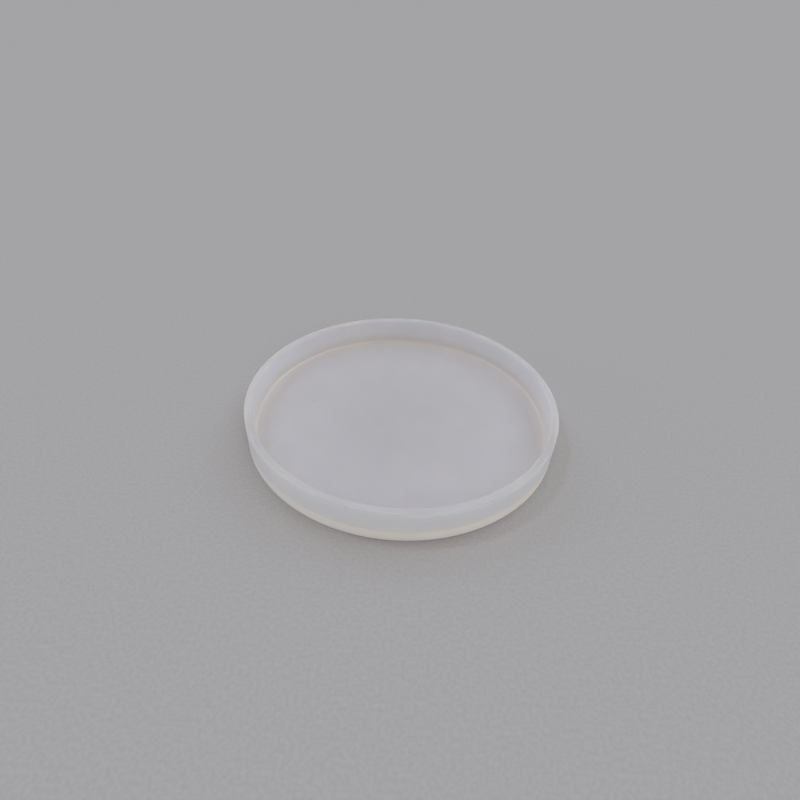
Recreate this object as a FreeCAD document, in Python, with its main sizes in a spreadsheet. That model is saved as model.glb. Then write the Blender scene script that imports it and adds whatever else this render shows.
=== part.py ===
import FreeCAD, Part
import os
import Sketcher

# A round open casting mould, moulded in one piece in silicone rubber: a thin flat floor
# closed in by one low upright wall with a flat-topped rim. Resin, wax or soap is poured
# into the shallow cavity, and the soft wall is peeled back to let the set disc out.
#
# Millimetres. The origin is the centre of the flat underside, and +Z points up out of
# the cavity, along the axis that the whole mould turns about.

# Driving dimensions: alias, value and what it is.
DIMENSIONS = (
    ("rim_diameter", 100.0, "outside of the wall, taken up to the rim"),
    ("base_diameter", 99.7, "outside of the wall, taken down to the underside"),
    ("overall_height", 10.4, "underside to rim"),
    ("cavity_diameter", 95.2, "inside of the upright wall, the diameter of a cast disc"),
    ("floor_thickness", 1.2, "underside to the floor of the cavity"),
    ("corner_radius", 0.9, "rounding where the cavity's wall meets its floor"),
    ("rim_edge_radius", 0.45, "rounding of the rim's two edges"),
    ("base_edge_radius", 0.1, "the slight rounding of the outer edge that stands on the table"),
)

LENGTH_TOLERANCE = 1e-6


def add_dimension_sheet(doc):
    """Put the driving dimensions in a spreadsheet, one row each, named by alias."""
    sheet = doc.addObject("Spreadsheet::Sheet", "dimensions")
    for row, (alias, value, meaning) in enumerate(DIMENSIONS, start=1):
        sheet.set(f"A{row}", meaning)
        sheet.set(f"B{row}", str(value))
        sheet.setAlias(f"B{row}", alias)
    doc.recompute()
    return sheet


def origin_feature(body, role):
    """The plane or axis of the body's own origin that has this role."""
    for feature in body.Origin.OriginFeatures:
        if feature.Role == role:
            return feature
    raise LookupError(f"{body.Name} has no origin feature {role}")


def add_outline(sketch, corners):
    """Draw a closed outline of straight lines through the corners, joined end to end."""
    count = len(corners)
    for number in range(count):
        start = FreeCAD.Vector(*corners[number], 0)
        end = FreeCAD.Vector(*corners[(number + 1) % count], 0)
        sketch.addGeometry(Part.LineSegment(start, end), False)
    for number in range(count):
        sketch.addConstraint(Sketcher.Constraint("Coincident", number, 2, (number + 1) % count, 1))


def drive(sketch, constraint, name, formula):
    """Add a constraint under a name, and let a formula of the sheet's cells drive it."""
    index = sketch.addConstraint(constraint)
    sketch.renameConstraint(index, name)
    sketch.setExpression(f"Constraints.{name}", formula)


def add_section(body, sheet):
    """Sketch half of the mould's section, from its axis out to the wall.

    The sketch's own axes are the radius from the mould's axis and the height."""
    sketch = body.newObject("Sketcher::SketchObject", "half_section")
    sketch.AttachmentSupport = [(origin_feature(body, "XZ_Plane"), "")]
    sketch.MapMode = "FlatFace"

    rim_radius = sheet.rim_diameter / 2
    base_radius = sheet.base_diameter / 2
    cavity_radius = sheet.cavity_diameter / 2
    add_outline(sketch, (
        (0, 0),
        (base_radius, 0),
        (rim_radius, sheet.overall_height),
        (cavity_radius, sheet.overall_height),
        (cavity_radius, sheet.floor_thickness),
        (0, sheet.floor_thickness),
    ))
    underside, outer_wall, rim, inner_wall, floor, axis = range(6)

    origin, start, end = -1, 1, 2
    sketch.addConstraint(Sketcher.Constraint("Coincident", underside, start, origin, 1))
    for level_line in (underside, rim, floor):
        sketch.addConstraint(Sketcher.Constraint("Horizontal", level_line))
    for upright_line in (inner_wall, axis):
        sketch.addConstraint(Sketcher.Constraint("Vertical", upright_line))
    drive(sketch, Sketcher.Constraint("DistanceX", origin, 1, outer_wall, start, base_radius),
          "base_radius", "dimensions.base_diameter / 2")
    drive(sketch, Sketcher.Constraint("DistanceX", origin, 1, outer_wall, end, rim_radius),
          "rim_radius", "dimensions.rim_diameter / 2")
    drive(sketch, Sketcher.Constraint("DistanceX", origin, 1, inner_wall, start, cavity_radius),
          "cavity_radius", "dimensions.cavity_diameter / 2")
    drive(sketch, Sketcher.Constraint("DistanceY", origin, 1, rim, start, sheet.overall_height),
          "rim_height", "dimensions.overall_height")
    drive(sketch, Sketcher.Constraint("DistanceY", origin, 1, floor, start, sheet.floor_thickness),
          "floor_height", "dimensions.floor_thickness")
    return sketch


def circle_edges(feature, radius, height):
    """Names of the feature's edges that are level circles of this radius at this height."""
    names = []
    for number, edge in enumerate(feature.Shape.Edges, start=1):
        if not isinstance(edge.Curve, Part.Circle):
            continue
        same_radius = abs(edge.Curve.Radius - radius) < LENGTH_TOLERANCE
        same_height = abs(edge.Curve.Center.z - height) < LENGTH_TOLERANCE
        if same_radius and same_height:
            names.append(f"Edge{number}")
    if not names:
        raise LookupError(f"{feature.Name} has no circular edge of radius {radius} at height {height}")
    return names


def round_edges(body, base, name, edges, radius_alias):
    """Round edges of the base feature with the radius in one cell of the sheet."""
    fillet = body.newObject("PartDesign::Fillet", name)
    fillet.Base = (base, edges)
    fillet.setExpression("Radius", f"dimensions.{radius_alias}")
    body.Document.recompute()
    return fillet


def add_mould(doc, sheet):
    """The whole mould: its half section turned about the upright axis, edges rounded."""
    body = doc.addObject("PartDesign::Body", "mould_body")
    body.Label = "mould_body"
    section = add_section(body, sheet)
    turned = body.newObject("PartDesign::Revolution", "floor_and_wall")
    turned.Profile = section
    turned.ReferenceAxis = (origin_feature(body, "Z_Axis"), [""])
    turned.Angle = 360
    doc.recompute()

    corner = circle_edges(turned, sheet.cavity_diameter / 2, sheet.floor_thickness)
    cavity = round_edges(body, turned, "cavity_corner", corner, "corner_radius")

    rim_edges = circle_edges(cavity, sheet.rim_diameter / 2, sheet.overall_height)
    rim_edges += circle_edges(cavity, sheet.cavity_diameter / 2, sheet.overall_height)
    rim = round_edges(body, cavity, "rim_edges", rim_edges, "rim_edge_radius")

    base_edge = circle_edges(rim, sheet.base_diameter / 2, 0)
    round_edges(body, rim, "base_edge", base_edge, "base_edge_radius")
    body.Placement = FreeCAD.Placement()
    return body


def check_document(doc, sub_parts):
    """Stop if any object failed to recompute or any sub-part is not one sound solid."""
    for item in doc.Objects:
        if "Invalid" in item.State or "Error" in item.State:
            raise RuntimeError(f"{item.Name} failed: {item.State}")
    for sub_part in sub_parts:
        shape = sub_part.Shape
        if shape.isNull() or not shape.isValid():
            raise RuntimeError(f"{sub_part.Label} has no valid shape")
        if len(shape.Solids) != 1:
            raise RuntimeError(f"{sub_part.Label} is not a single solid")


def main():
    doc = FreeCAD.newDocument("casting_mould")
    sheet = add_dimension_sheet(doc)
    sub_parts = [add_mould(doc, sheet)]
    doc.recompute()
    check_document(doc, sub_parts)

    os.makedirs("parts", exist_ok=True)
    for sub_part in sub_parts:
        sub_part.Shape.exportStep(f"parts/{sub_part.Label}.step")
        box = sub_part.Shape.optimalBoundingBox(False)
        print(f"{sub_part.Label}: {box.XLength:.2f} x {box.YLength:.2f} x {box.ZLength:.2f} mm,"
              f" {sub_part.Shape.Volume / 1000:.2f} cm3")


main()
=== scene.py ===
import math

import bmesh
import bpy
from mathutils import Matrix, Vector


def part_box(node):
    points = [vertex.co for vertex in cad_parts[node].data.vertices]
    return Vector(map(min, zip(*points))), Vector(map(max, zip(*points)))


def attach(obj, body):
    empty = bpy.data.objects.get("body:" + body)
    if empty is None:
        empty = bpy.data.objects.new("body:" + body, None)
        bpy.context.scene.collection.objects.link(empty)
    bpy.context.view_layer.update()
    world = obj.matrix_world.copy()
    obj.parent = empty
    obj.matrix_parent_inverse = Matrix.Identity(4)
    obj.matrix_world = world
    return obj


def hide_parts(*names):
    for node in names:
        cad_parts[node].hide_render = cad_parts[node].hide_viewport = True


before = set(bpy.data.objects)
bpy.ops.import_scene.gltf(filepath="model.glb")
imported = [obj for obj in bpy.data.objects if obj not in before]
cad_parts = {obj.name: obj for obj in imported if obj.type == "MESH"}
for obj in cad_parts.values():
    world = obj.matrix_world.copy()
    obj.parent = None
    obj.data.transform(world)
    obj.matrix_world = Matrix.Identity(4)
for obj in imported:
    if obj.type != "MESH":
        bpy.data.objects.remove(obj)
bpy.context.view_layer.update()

MM = 0.001

# The mould's outside comes from the frame's box; the rest are its section's own sizes.
(BOX_LOW, BOX_HIGH) = (Vector(corner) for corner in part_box("mould_body"))
RIM_RADIUS = (BOX_HIGH.x - BOX_LOW.x) / 2
HEIGHT = BOX_HIGH.z - BOX_LOW.z
WALL_LEAN = 0.144 * MM
BASE_RADIUS = RIM_RADIUS - WALL_LEAN
WALL = 2.394 * MM
FLOOR_HEIGHT = 1.2 * MM
CORNER_RADIUS = 0.9 * MM
RIM_EDGE_RADIUS = 0.45 * MM
BASE_EDGE_RADIUS = 0.1 * MM

# Faces round the mould, and along each stretch of its section.
AROUND = 384
UNDERSIDE_STEPS = 12
WALL_STEPS = 12
RIM_STEPS = 4
FLOOR_STEPS = 16
BASE_EDGE_STEPS = 6
RIM_EDGE_STEPS = 8
CORNER_STEPS = 12


def arc(centre, radius, start, end, steps):
    """Points of an arc in the (radius, height) plane, angles in degrees."""
    points = []
    for step in range(steps + 1):
        angle = math.radians(start + (end - start) * step / steps)
        points.append((centre[0] + radius * math.cos(angle), centre[1] + radius * math.sin(angle)))
    return points


def run(start, end, steps):
    """Points along a straight stretch, leaving out both ends."""
    return [
        (start[0] + (end[0] - start[0]) * step / steps, start[1] + (end[1] - start[1]) * step / steps)
        for step in range(1, steps)
    ]


def section():
    """Half of the mould's section as (radius, height), from the underside round to the floor."""
    cavity = RIM_RADIUS - WALL
    rim_edge_height = HEIGHT - RIM_EDGE_RADIUS
    base_centre = (BASE_RADIUS - BASE_EDGE_RADIUS, BASE_EDGE_RADIUS)
    rim_out_centre = (RIM_RADIUS - RIM_EDGE_RADIUS, rim_edge_height)
    rim_in_centre = (cavity + RIM_EDGE_RADIUS, rim_edge_height)
    corner_centre = (cavity - CORNER_RADIUS, FLOOR_HEIGHT + CORNER_RADIUS)

    base = arc(base_centre, BASE_EDGE_RADIUS, -90, 0, BASE_EDGE_STEPS)
    rim_out = arc(rim_out_centre, RIM_EDGE_RADIUS, 0, 90, RIM_EDGE_STEPS)
    rim_in = arc(rim_in_centre, RIM_EDGE_RADIUS, 90, 180, RIM_EDGE_STEPS)
    corner = arc(corner_centre, CORNER_RADIUS, 0, -90, CORNER_STEPS)

    points = run((0, 0), base[0], UNDERSIDE_STEPS) + base
    points += run(base[-1], rim_out[0], WALL_STEPS) + rim_out
    points += run(rim_out[-1], rim_in[0], RIM_STEPS) + rim_in
    points += run(rim_in[-1], corner[0], WALL_STEPS) + corner
    points += run(corner[-1], (0, FLOOR_HEIGHT), FLOOR_STEPS)
    return points


def mould_mesh():
    """The section turned about the upright axis, closed by a point under and over the axis."""
    mesh = bmesh.new()
    rings = []
    for radius, height in section():
        ring = []
        for step in range(AROUND):
            angle = math.tau * step / AROUND
            ring.append(mesh.verts.new((radius * math.cos(angle), radius * math.sin(angle), height)))
        rings.append(ring)
    low = mesh.verts.new((0, 0, 0))
    high = mesh.verts.new((0, 0, FLOOR_HEIGHT))
    for step in range(AROUND):
        after = (step + 1) % AROUND
        mesh.faces.new((low, rings[0][after], rings[0][step]))
        for ring, following in zip(rings, rings[1:]):
            mesh.faces.new((ring[step], ring[after], following[after], following[step]))
        mesh.faces.new((high, rings[-1][step], rings[-1][after]))
    for face in mesh.faces:
        face.smooth = True
    data = bpy.data.meshes.new("silicone_mould")
    mesh.to_mesh(data)
    mesh.free()
    return data


# Noise lies round 0.5 and hardly ever leaves this range.
NOISE_RANGE = (0.2, 0.8)

# A speck fades out between these shares of its size, measured from its centre.
SPECK_EDGE = (0.4, 0.6)


class Nodes:
    """Short ways to build one material's node tree."""

    def __init__(self, name):
        self.material = bpy.data.materials.new(name)
        self.material.use_nodes = True
        self.tree = self.material.node_tree
        self.shader = self.tree.nodes["Principled BSDF"]

    def add(self, kind, **settings):
        node = self.tree.nodes.new(kind)
        for setting, value in settings.items():
            setattr(node, setting, value)
        return node

    def feed(self, socket, value):
        """Link a node's output to the socket, or set the socket to a plain number or vector."""
        if isinstance(value, bpy.types.NodeSocket):
            self.tree.links.new(value, socket)
        else:
            socket.default_value = value

    def math(self, operation, first, second=0.0):
        node = self.add("ShaderNodeMath", operation=operation)
        self.feed(node.inputs[0], first)
        self.feed(node.inputs[1], second)
        return node.outputs[0]

    def ramp(self, value, low, high, start=0.0, end=1.0):
        """Goes smoothly from start to end while the value goes from low to high."""
        node = self.add("ShaderNodeMapRange", interpolation_type="SMOOTHSTEP")
        for socket, number in zip(node.inputs, (value, low, high, start, end)):
            self.feed(socket, number)
        return node.outputs[0]

    def blend(self, amount, before, after, kind="RGBA"):
        """Mix of two colours, or of two numbers with kind FLOAT."""
        node = self.add("ShaderNodeMix", data_type=kind)
        sockets = {socket.identifier: socket for socket in node.inputs}
        suffix = {"RGBA": "Color", "FLOAT": "Float"}[kind]
        self.feed(sockets["Factor_Float"], amount)
        self.feed(sockets["A_" + suffix], before)
        self.feed(sockets["B_" + suffix], after)
        outputs = {socket.identifier: socket for socket in node.outputs}
        return outputs["Result_" + suffix]

    def noise(self, coordinates, grain, detail=2.0):
        """Smooth random number near 0.5, in 3-D, with lumps of about this grain in metres."""
        node = self.add("ShaderNodeTexNoise")
        self.feed(node.inputs["Vector"], coordinates)
        self.feed(node.inputs["Scale"], 1.0 / grain)
        self.feed(node.inputs["Detail"], detail)
        return node.outputs[0]

    def specks(self, coordinates, spacing, size):
        """1 in small round specks strewn through space at about this spacing, 0 elsewhere."""
        node = self.add("ShaderNodeTexVoronoi")
        self.feed(node.inputs["Vector"], coordinates)
        self.feed(node.inputs["Scale"], 1.0 / spacing)
        edge_start, edge_end = (share * size / spacing for share in SPECK_EDGE)
        return self.ramp(node.outputs["Distance"], edge_start, edge_end, 1.0, 0.0)

    def vary(self, value, number, spread):
        """The value times 1 minus to 1 plus the spread, as the number goes through noise's range."""
        node = self.add("ShaderNodeVectorMath", operation="SCALE")
        self.feed(node.inputs[0], value)
        self.feed(node.inputs["Scale"], self.ramp(number, *NOISE_RANGE, 1.0 - spread, 1.0 + spread))
        return node.outputs[0]

    def bump(self, height, depth, normal=None):
        """Normal of a surface raised by the height, 0 to 1, times the depth in metres."""
        node = self.add("ShaderNodeBump")
        self.feed(node.inputs["Strength"], 1.0)
        self.feed(node.inputs["Distance"], depth)
        self.feed(node.inputs["Height"], height)
        if normal is not None:
            self.feed(node.inputs["Normal"], normal)
        return node.outputs[0]

    def pass_lamps(self, share):
        """Let this share of the lamps' light through each surface, so that the shadow isn't black."""
        through = self.add("ShaderNodeBsdfTransparent")
        self.feed(through.inputs["Color"], share)
        mix = self.add("ShaderNodeMixShader")
        self.feed(mix.inputs[0], self.add("ShaderNodeLightPath").outputs["Is Shadow Ray"])
        self.feed(mix.inputs[1], self.shader.outputs[0])
        self.feed(mix.inputs[2], through.outputs[0])
        self.feed(self.tree.nodes["Material Output"].inputs["Surface"], mix.outputs[0])


# Base colour (linear) and clearness, 0 milky to 1 clear, of each zone of the one moulding.
# Besides the silicone's own bluish tint, these colours hold painted light and shade: zones are
# made lighter, darker or warmer to stand in for how lit or shaded they are.
FLOOR_MIDDLE = ((0.782, 0.78, 0.84, 1), 0.58)
FLOOR = ((0.819, 0.812, 0.882, 1), 0.58)
# Painted light: the floor is lighter and warmer near the wall, standing in for light let through the
# wall and cast back warm by it.
FLOOR_EDGE_PAINTED_LIGHT = ((0.832, 0.818, 0.862, 1), 0.54)
# Painted shade: the foot of the inner wall, in the corner, is darker and warmer than the wall above.
INNER_FOOT_PAINTED_SHADE = ((0.733, 0.726, 0.777, 1), 0.34)
INNER_WALL = ((0.77, 0.783, 0.866, 1), 0.30)
# Partly painted light: the outside of the wall is lighter than its inside, standing in for light
# shining through from the cavity; the bluish tint is the silicone's own.
OUTER_WALL = ((0.824, 0.852, 0.968, 1), 0.15)
# Painted warm light: the lower outside of the wall is warmer, standing in for warm light passed
# through the silicone near the table.
OUTER_LOW_PAINTED_WARM_LIGHT = ((0.862, 0.865, 0.90, 1), 0.15)
# Painted glow: the band at the base is bright and warm, standing in for light carried along the floor
# and out through the foot.
BASE_BAND_PAINTED_GLOW = ((0.98, 0.948, 0.945, 1), 0.0)
# Painted shade: the rim's top is darker than the walls, offsetting the light that falls on it from
# above.
RIM = ((0.706, 0.718, 0.792, 1), 0.60)

# The radii over which each of these zones takes over from the one inside it.
FLOOR_STARTS = (8.0 * MM, 38.0 * MM)
FLOOR_EDGE_STARTS = (43.0 * MM, 46.8 * MM)
OUTER_WALL_STARTS = (BASE_RADIUS - 0.25 * MM, BASE_RADIUS - 0.1 * MM)

# The heights over which each of these zones takes over from the one below it.
INNER_FOOT_STARTS = (1.25 * MM, 1.9 * MM)
INNER_WALL_STARTS = (2.4 * MM, 5.4 * MM)
RIM_STARTS = (HEIGHT - 0.45 * MM, HEIGHT - 0.2 * MM)

# The heights over which these zones, which start at the underside, fade out.
OUTER_LOW_ENDS = (3.4 * MM, 7.0 * MM)
BASE_BAND_ENDS = (2.8 * MM, 3.9 * MM)

# Faint mottling of the colour.
MOTTLE_GRAIN = 11 * MM
MOTTLE_DETAIL = 4.0
MOTTLE_SPREAD = 0.02

# The few specks of dust that cling to the silicone.
DUST = (0.64, 0.62, 0.62, 1)
DUST_SPACING = 8 * MM
DUST_SIZE = 0.55 * MM

# Satin gloss. The whole range of the roughness stays above 0.274: the renderer's denoiser treats
# smoother surfaces differently, and a range across that limit comes out as torn patches.
GLOSS_GRAIN = 7 * MM
GLOSS_DETAIL = 5.0
GLOSS_NOISE = (0.3, 0.7)
ROUGHNESS = (0.28, 0.33)

# A fine skin texture, and the long gentle unevenness of a poured moulding.
SKIN_GRAIN = 0.7 * MM
SKIN_DETAIL = 3.0
SKIN_DEPTH = 0.012 * MM
WAVE_GRAIN = 9 * MM
WAVE_DEPTH = 0.12 * MM

# How light bends at and scatters under the silicone's surface; it scatters least in the base band.
SILICONE_IOR = 1.41
SCATTER_RADIUS = (1.0, 0.85, 0.7)
SCATTER_SCALE = 1.5 * MM
SCATTER = 1.0
SCATTER_IN_BASE_BAND = 0.2

# Share of red, green and blue lamp light that each surface lets through, and where it changes.
LAMPS_THROUGH_FLOOR = (0.15, 0.12, 0.09, 1)
LAMPS_THROUGH_FOOT = (0.08, 0.05, 0.015, 1)
LAMPS_THROUGH_WALL = (0.67, 0.575, 0.45, 1)
WALL_SHARE_STARTS_OUTWARD = (46.0 * MM, 47.6 * MM)
WALL_SHARE_STARTS_UPWARD = (0.8 * MM, 4.4 * MM)


def outside_masks(nodes, radius, height):
    """Masks of the wall's outside, of its lower part, and of the band at its base; these carry
    painted light, warm on the lower part and a glow on the band.
    """
    outside = nodes.ramp(radius, *OUTER_WALL_STARTS)
    low = nodes.math("MULTIPLY", outside, nodes.ramp(height, *OUTER_LOW_ENDS, 1.0, 0.0))
    base_band = nodes.math("MULTIPLY", outside, nodes.ramp(height, *BASE_BAND_ENDS, 1.0, 0.0))
    return outside, low, base_band


def zone_looks(nodes, radius, height, outside, low, base_band):
    """Colour and clearness of the silicone, which go smoothly from zone to zone; the colours carry
    painted light and shade as well as the silicone's own tint.
    """
    zones = (
        (nodes.ramp(radius, *FLOOR_STARTS), FLOOR),
        (nodes.ramp(radius, *FLOOR_EDGE_STARTS), FLOOR_EDGE_PAINTED_LIGHT),
        (nodes.ramp(height, *INNER_FOOT_STARTS), INNER_FOOT_PAINTED_SHADE),
        (nodes.ramp(height, *INNER_WALL_STARTS), INNER_WALL),
        (outside, OUTER_WALL),
        (low, OUTER_LOW_PAINTED_WARM_LIGHT),
        (base_band, BASE_BAND_PAINTED_GLOW),
        (nodes.ramp(height, *RIM_STARTS), RIM),
    )
    (colour, clearness) = FLOOR_MIDDLE
    for mask, (zone_colour, zone_clearness) in zones:
        colour = nodes.blend(mask, colour, zone_colour)
        clearness = nodes.blend(mask, clearness, zone_clearness, "FLOAT")
    return colour, clearness


def add_mottle_and_dust(nodes, coordinates, colour):
    """The colour with its faint mottling and its specks of dust."""
    mottled = nodes.vary(colour, nodes.noise(coordinates, MOTTLE_GRAIN, MOTTLE_DETAIL), MOTTLE_SPREAD)
    return nodes.blend(nodes.specks(coordinates, DUST_SPACING, DUST_SIZE), mottled, DUST)


def satin_roughness(nodes, coordinates):
    """Roughness of the satin skin, which varies a little from place to place."""
    gloss = nodes.noise(coordinates, GLOSS_GRAIN, GLOSS_DETAIL)
    return nodes.ramp(gloss, *GLOSS_NOISE, *ROUGHNESS)


def skin_normal(nodes, coordinates):
    """The fine skin texture on top of the long gentle unevenness."""
    skin = nodes.bump(nodes.noise(coordinates, SKIN_GRAIN, SKIN_DETAIL), SKIN_DEPTH)
    return nodes.bump(nodes.noise(coordinates, WAVE_GRAIN), WAVE_DEPTH, skin)


def lamp_share(nodes, radius, height):
    """Share of lamp light let through: by height in the wall, and even in the floor."""
    upward = nodes.ramp(height, *WALL_SHARE_STARTS_UPWARD)
    outward = nodes.ramp(radius, *WALL_SHARE_STARTS_OUTWARD)
    wall_share = nodes.blend(upward, LAMPS_THROUGH_FOOT, LAMPS_THROUGH_WALL)
    return nodes.blend(outward, LAMPS_THROUGH_FLOOR, wall_share)


def silicone():
    """Milky silicone: how clear it looks goes largely with how thick it is there, and its colour
    changes from zone to zone with painted light and shade as well as its own tint.
    """
    nodes = Nodes("silicone")
    shader = nodes.shader
    coordinates = nodes.add("ShaderNodeTexCoord").outputs["Object"]
    axes = nodes.add("ShaderNodeSeparateXYZ")
    nodes.feed(axes.inputs[0], coordinates)
    x, y, height = axes.outputs
    squares = nodes.math("ADD", nodes.math("MULTIPLY", x, x), nodes.math("MULTIPLY", y, y))
    radius = nodes.math("SQRT", squares)

    outside, low, base_band = outside_masks(nodes, radius, height)
    colour, clearness = zone_looks(nodes, radius, height, outside, low, base_band)
    nodes.feed(shader.inputs["Base Color"], add_mottle_and_dust(nodes, coordinates, colour))
    nodes.feed(shader.inputs["Transmission Weight"], clearness)
    nodes.feed(shader.inputs["Roughness"], satin_roughness(nodes, coordinates))
    nodes.feed(shader.inputs["Normal"], skin_normal(nodes, coordinates))
    scatter = nodes.ramp(base_band, 0.0, 1.0, SCATTER, SCATTER_IN_BASE_BAND)
    nodes.feed(shader.inputs["Subsurface Weight"], scatter)
    shader.inputs["Subsurface Radius"].default_value = SCATTER_RADIUS
    shader.inputs["Subsurface Scale"].default_value = SCATTER_SCALE
    shader.inputs["IOR"].default_value = SILICONE_IOR
    nodes.pass_lamps(lamp_share(nodes, radius, height))
    return nodes.material


def add_mould():
    mould = bpy.data.objects.new("silicone_mould", mould_mesh())
    bpy.context.scene.collection.objects.link(mould)
    mould.data.materials.append(silicone())
    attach(mould, "root")
    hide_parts("mould_body")


# The table's colour makes it as bright under the lamps as the light all round it, and it has no
# gloss, so that no horizon shows from the side.
TABLE = (0.368, 0.358, 0.382)
TABLE_GRAIN = 0.9 * MM
TABLE_SPREAD = 0.05
TABLE_ROUGHNESS = 0.6
TABLE_GLOSS = 0.0
TABLE_RADIUS = 40.0
TABLE_SIDES = 96
GAP_UNDER_MOULD = 0.02 * MM


def table_material():
    """Pale matt table top with a fine grain."""
    nodes = Nodes("table")
    coordinates = nodes.add("ShaderNodeTexCoord").outputs["Object"]
    colour = nodes.vary(TABLE, nodes.noise(coordinates, TABLE_GRAIN), TABLE_SPREAD)
    nodes.feed(nodes.shader.inputs["Base Color"], colour)
    nodes.shader.inputs["Roughness"].default_value = TABLE_ROUGHNESS
    nodes.shader.inputs["Specular IOR Level"].default_value = TABLE_GLOSS
    return nodes.material


def add_table():
    mesh = bmesh.new()
    bmesh.ops.create_circle(mesh, cap_ends=True, segments=TABLE_SIDES, radius=TABLE_RADIUS)
    data = bpy.data.meshes.new("table")
    mesh.to_mesh(data)
    mesh.free()
    table = bpy.data.objects.new("table", data)
    table.location.z = -GAP_UNDER_MOULD
    bpy.context.scene.collection.objects.link(table)
    table.data.materials.append(table_material())


# Light that comes evenly from all round.
SURROUND = (0.985, 0.97, 1.0, 1)
SURROUND_STRENGTH = 0.376


def add_surround():
    world = bpy.data.worlds.new("studio")
    world.use_nodes = True
    background = world.node_tree.nodes["Background"]
    background.inputs["Color"].default_value = SURROUND
    background.inputs["Strength"].default_value = SURROUND_STRENGTH
    bpy.context.scene.world = world


def far_soft_light(name, azimuth, elevation, spread, power, colour):
    """A big soft light far away, all angles in degrees.

    Azimuth is counted from +X towards +Y, and spread is how wide the light looks."""
    light = bpy.data.lights.new(name, "SUN")
    light.angle = math.radians(spread)
    light.energy = power
    light.color = colour
    lamp = bpy.data.objects.new(name, light)
    turn, rise = math.radians(azimuth), math.radians(elevation)
    away = Vector((math.cos(turn) * math.cos(rise), math.sin(turn) * math.cos(rise), math.sin(rise)))
    lamp.rotation_mode = "QUATERNION"
    lamp.rotation_quaternion = away.to_track_quat("Z", "Y")
    bpy.context.scene.collection.objects.link(lamp)


def add_lights():
    far_soft_light("overhead", 0, 90, 40, 0.269, (0.98, 1.0, 0.86))
    far_soft_light("high_right", 28, 58, 36, 0.576, (0.96, 1.0, 0.97))
    far_soft_light("back_right", 48, 32, 30, 0.462, (0.94, 1.0, 0.96))
    far_soft_light("back_left", 130, 32, 30, 0.435, (0.96, 1.0, 0.97))
    far_soft_light("low_right", 0, 22, 28, 0.085, (1.0, 0.97, 0.945))
    far_soft_light("low_left", 180, 12, 22, 0.36, (1.0, 0.98, 0.90))
    far_soft_light("front", 292, 32, 30, 0.58, (1.0, 0.96, 0.75))
    far_soft_light("window", 160, 60, 8, 0.49, (0.94, 1.0, 0.985))


# The camera looks along +Y and down. It is this far from the mould's base centre along its own
# line of sight, and the base centre lies off that line to the right and below it.
CAMERA_ELEVATION = math.radians(38.06)
CAMERA_ROLL = math.radians(3.2)
CAMERA_DEPTH = 178.35 * MM
CAMERA_LENS = 23.82
CAMERA_SENSOR = 36
BASE_CENTRE_RIGHT = 0.39 * MM
BASE_CENTRE_DOWN = 6.28 * MM


def add_camera():
    camera = bpy.data.cameras.new("camera")
    camera.lens = CAMERA_LENS
    camera.sensor_width = CAMERA_SENSOR
    camera.clip_start = 1 * MM
    camera.clip_end = 100
    holder = bpy.data.objects.new("camera", camera)
    bpy.context.scene.collection.objects.link(holder)
    back = Vector((0, -math.cos(CAMERA_ELEVATION), math.sin(CAMERA_ELEVATION)))
    level_up = Vector((0, math.sin(CAMERA_ELEVATION), math.cos(CAMERA_ELEVATION)))
    level_right = Vector((1, 0, 0))
    right = level_right * math.cos(CAMERA_ROLL) + level_up * math.sin(CAMERA_ROLL)
    up = level_up * math.cos(CAMERA_ROLL) - level_right * math.sin(CAMERA_ROLL)
    place = back * CAMERA_DEPTH - right * BASE_CENTRE_RIGHT + up * BASE_CENTRE_DOWN
    turned = Matrix((right, up, back)).transposed().to_4x4()
    holder.matrix_world = Matrix.Translation(place) @ turned
    bpy.context.scene.camera = holder


add_mould()
add_table()
add_surround()
add_lights()
add_camera()
bpy.context.scene.view_settings.view_transform = "Standard"
